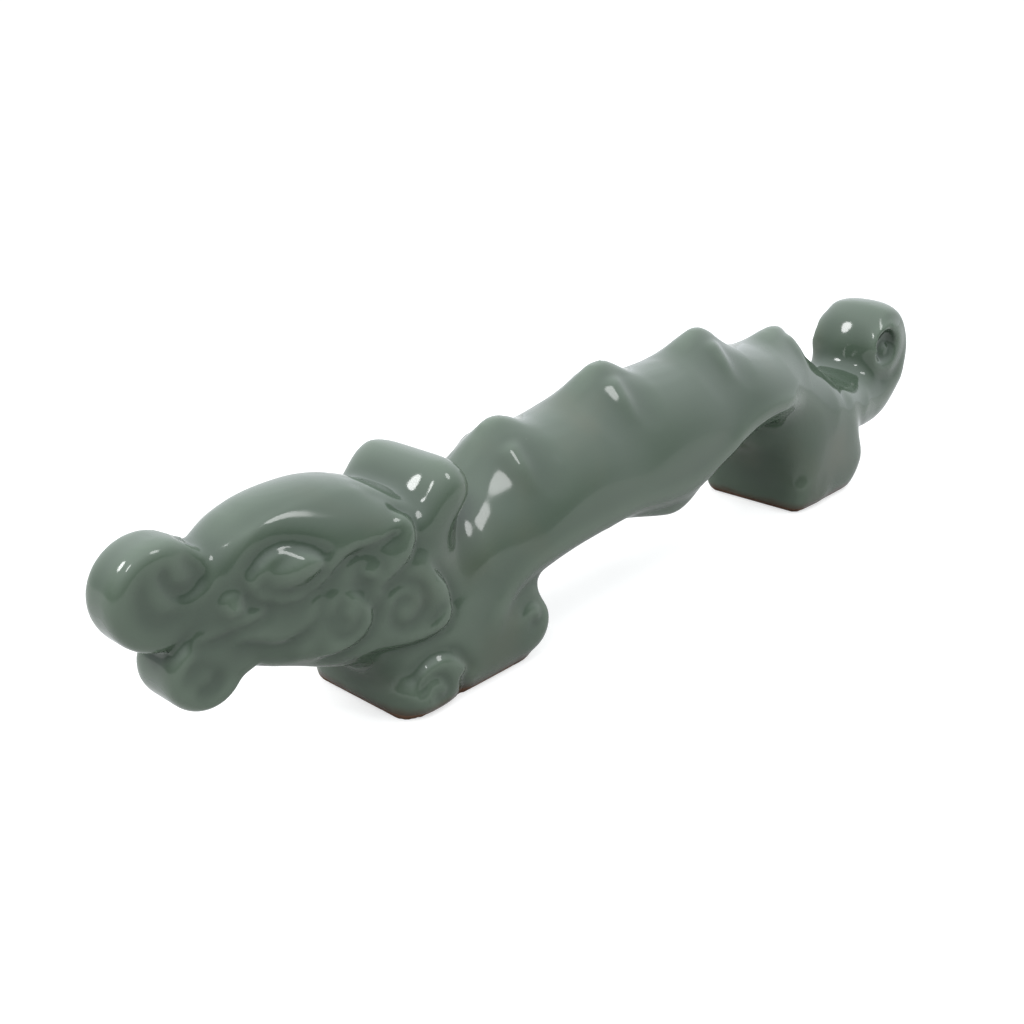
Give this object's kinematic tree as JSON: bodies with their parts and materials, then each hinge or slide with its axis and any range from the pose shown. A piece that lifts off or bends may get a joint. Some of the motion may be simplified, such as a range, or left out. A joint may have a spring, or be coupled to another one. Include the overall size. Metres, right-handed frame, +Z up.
{
  "type": "brush rest",
  "caption": "Long low brush rest shaped as an arched dragon: scroll-nosed head, humped back with knobs that part the brushes, two scrolled feet and a rolled tail.",
  "frame": {"origin": "bottom centre of the box round the whole rest, on the table top", "axes": "+Z up, +X along the rest from the head to the tail, +Y across it"},
  "size_m": [0.166, 0.0214, 0.035],
  "materials": {
    "celadon_glaze": "thick glossy celadon glaze, grey-green, pooled darker in the hollows",
    "bare_stoneware": "bare fired clay, matt, rust brown"
  },
  "bodies": {
    "root": {"torso": "celadon_glaze", "back_knob_1": "celadon_glaze", "back_knob_2": "celadon_glaze", "back_knob_3": "celadon_glaze", "back_knob_4": "celadon_glaze", "front_leg": "celadon_glaze", "rear_leg": "celadon_glaze", "front_foot_rim": "bare_stoneware", "rear_foot_rim": "bare_stoneware", "tail_curl": "celadon_glaze", "head": "celadon_glaze", "snout_curl": "celadon_glaze", "lower_jaw": "celadon_glaze", "crest_roll": "celadon_glaze", "brow_left": "celadon_glaze", "brow_right": "celadon_glaze", "eye_left": "celadon_glaze", "eye_right": "celadon_glaze", "cheek_curl_left": "celadon_glaze", "cheek_curl_right": "celadon_glaze", "jowl_left": "celadon_glaze", "jowl_right": "celadon_glaze", "mane_curl_left": "celadon_glaze", "mane_curl_right": "celadon_glaze"}
  },
  "joints": []
}
